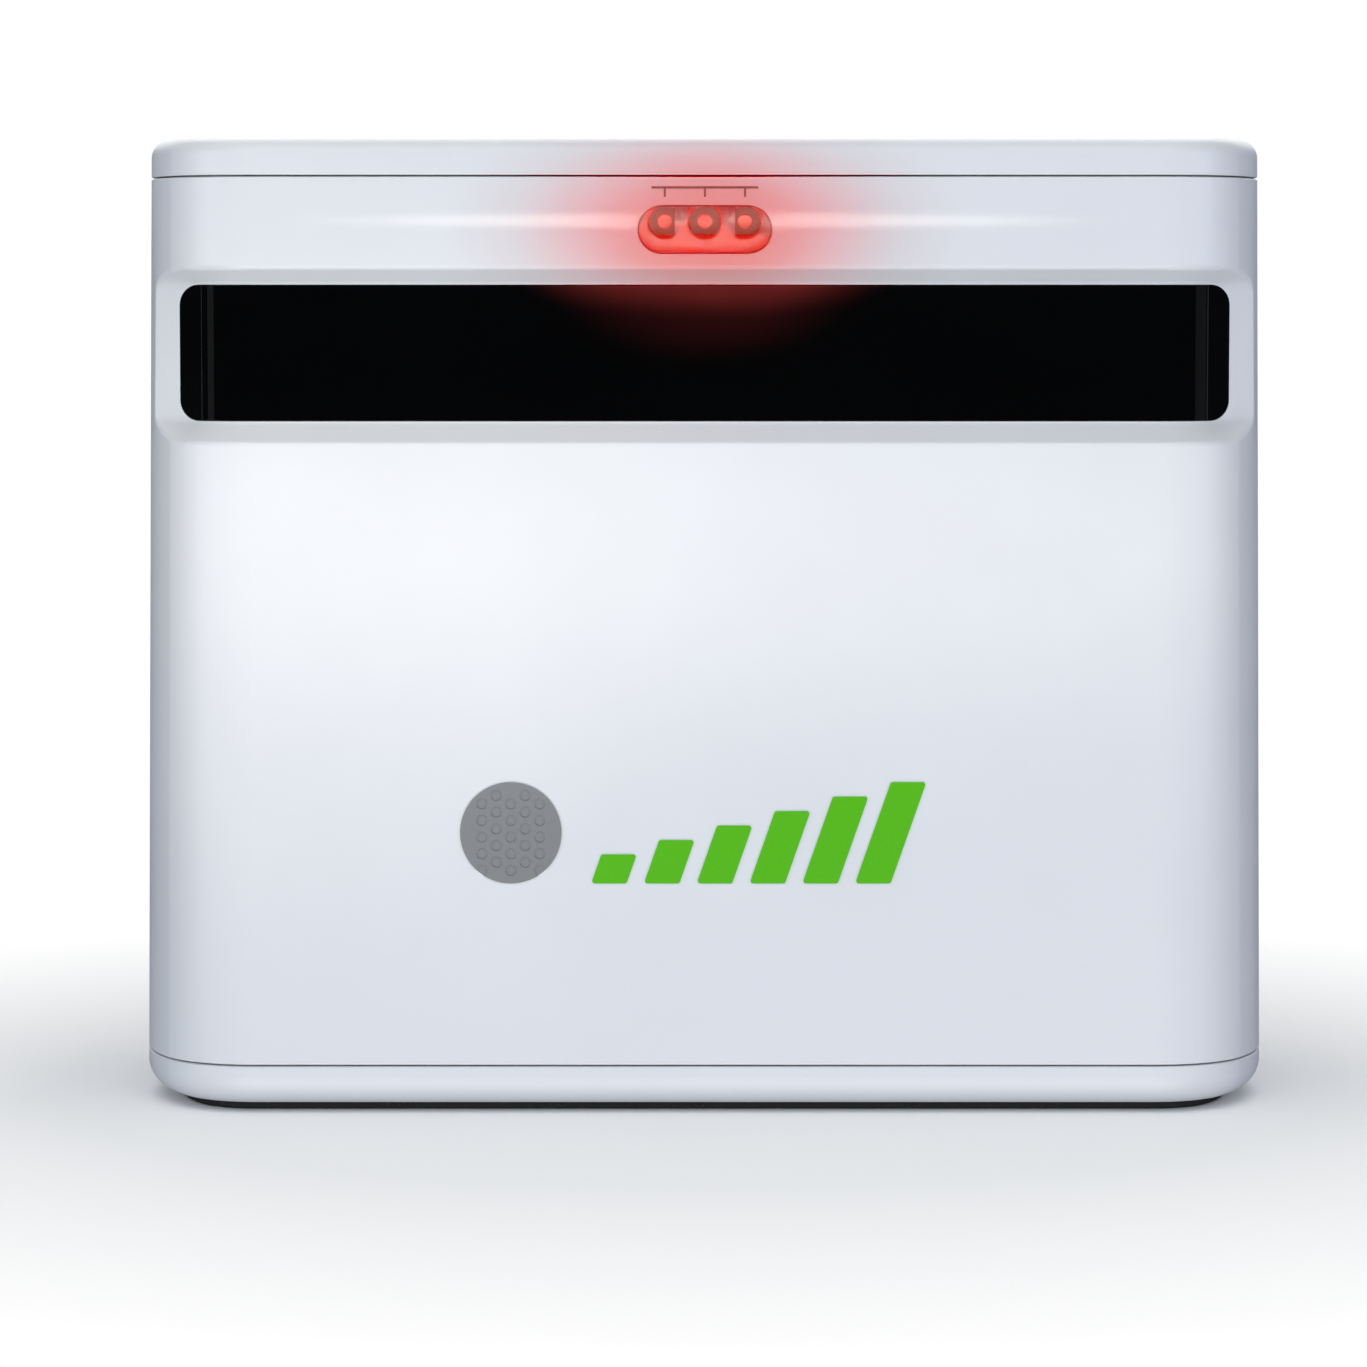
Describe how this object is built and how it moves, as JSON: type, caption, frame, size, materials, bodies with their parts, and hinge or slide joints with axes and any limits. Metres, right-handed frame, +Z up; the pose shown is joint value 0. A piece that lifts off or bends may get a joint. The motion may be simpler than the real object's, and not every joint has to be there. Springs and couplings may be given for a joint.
{
  "type": "launch monitor",
  "caption": "Compact white box-shaped camera launch monitor for golf practice, with a black wrap-round window and a laser aperture above it.",
  "frame": {"origin": "centre of the footprint, on the surface the monitor stands on", "axes": "+X to the right seen from the front, +Y to the rear (the window faces -Y), +Z up"},
  "size_m": [0.1714, 0.07, 0.146],
  "materials": {
    "white_plastic": "satin moulded ABS, fine even grain",
    "holder_plastic": "moulded, matt",
    "window_plastic": "polished black acrylic that passes infrared",
    "smoked_plastic": "polished smoked acrylic",
    "clear_cover": "polished clear acrylic",
    "lens_glass": "coated optical glass",
    "laser_lens": "polished, lit red",
    "light_guide": "clear acrylic",
    "black_rubber": "matt, fine grain",
    "black_foam": "closed-cell foam",
    "black_plastic": "moulded, fine grain",
    "emblem_grey": "satin grey",
    "emblem_green": "satin green",
    "print_grey": "printed ink",
    "circuit_board": "solder mask",
    "led_body": "clear epoxy on white",
    "ribbon_film": "amber polyimide",
    "lead_sleeve": "red sleeve",
    "cell_wrap": "heat-shrink wrap",
    "capacitor_sleeve": "heat-shrink sleeve",
    "sheet_steel": "zinc plated",
    "bare_aluminium": "milled",
    "black_aluminium": "black anodised",
    "brass": "turned",
    "bright_steel": "nickel plated"
  },
  "bodies": {
    "housing": {"front_shell": "white_plastic", "rear_cover": "white_plastic", "top_cap": "white_plastic", "base_tray": "white_plastic", "laser_holder": "holder_plastic", "front_window": "window_plastic", "indicator_lens": "smoked_plastic", "laser_glass": "clear_cover", "lens_glass_left": "lens_glass", "lens_glass_right": "lens_glass", "laser_lenses": "laser_lens", "light_pipes": "light_guide", "base_pad": "black_rubber", "window_gasket": "black_foam", "button_switch": "black_plastic", "lens_housing_left": "black_plastic", "lens_housing_right": "black_plastic", "battery_holder": "black_plastic", "board_chips": "black_plastic", "processor": "black_plastic", "board_connectors": "black_plastic", "emblem_ball": "emblem_grey", "emblem_bars": "emblem_green", "aperture_mark": "print_grey", "main_board": "circuit_board", "top_board": "circuit_board", "port_board": "circuit_board", "camera_board_left": "circuit_board", "camera_board_right": "circuit_board", "flash_board": "circuit_board", "wifi_antenna": "circuit_board", "status_leds": "led_body", "flash_leds": "led_body", "camera_ribbon_left": "ribbon_film", "camera_ribbon_right": "ribbon_film", "top_ribbon": "ribbon_film", "battery_lead": "lead_sleeve", "battery_cells": "cell_wrap", "flash_capacitors": "capacitor_sleeve", "chassis_plate": "sheet_steel", "camera_bar": "bare_aluminium", "heat_spreader": "bare_aluminium", "flash_reflectors": "bare_aluminium", "lens_barrel_left": "black_aluminium", "lens_barrel_right": "black_aluminium", "laser_left": "black_aluminium", "laser_centre": "black_aluminium", "laser_right": "black_aluminium", "levelling_inserts": "brass", "shell_screws": "bright_steel", "tray_screws": "bright_steel", "chassis_screws": "bright_steel", "board_screws": "bright_steel", "usb_socket": "bright_steel"},
    "power_button": {"power_button": "white_plastic", "switch_plunger": "black_plastic"},
    "foot_pad_left": {"foot_pad_left": "black_rubber"},
    "foot_wheel_left": {"foot_wheel_left": "black_plastic"},
    "foot_pad_right": {"foot_pad_right": "black_rubber"},
    "foot_wheel_right": {"foot_wheel_right": "black_plastic"}
  },
  "joints": [
    {"name": "power_press", "type": "slide", "parent": "housing", "child": "power_button", "axis": [0, 0, -1], "range_m": [0, 0.0006], "stiffness_N_per_m": 1500, "springref_m": -0.0004},
    {"name": "foot_left_extend", "type": "slide", "parent": "housing", "child": "foot_pad_left", "axis": [0, 0, -1], "range_m": [0, 0.004]},
    {"name": "foot_left_turn", "type": "hinge", "parent": "foot_pad_left", "child": "foot_wheel_left", "pos_m": [-0.056, 0.018, 0.003], "axis": [0, 0, -1], "range_deg": [0, 1440]},
    {"name": "foot_right_extend", "type": "slide", "parent": "housing", "child": "foot_pad_right", "axis": [0, 0, -1], "range_m": [0, 0.004]},
    {"name": "foot_right_turn", "type": "hinge", "parent": "foot_pad_right", "child": "foot_wheel_right", "pos_m": [0.056, 0.018, 0.003], "axis": [0, 0, -1], "range_deg": [0, 1440]}
  ],
  "couplings": [
    {"joint": "foot_left_turn", "follows": "foot_left_extend", "rad_per_m": 6283},
    {"joint": "foot_right_turn", "follows": "foot_right_extend", "rad_per_m": 6283}
  ]
}
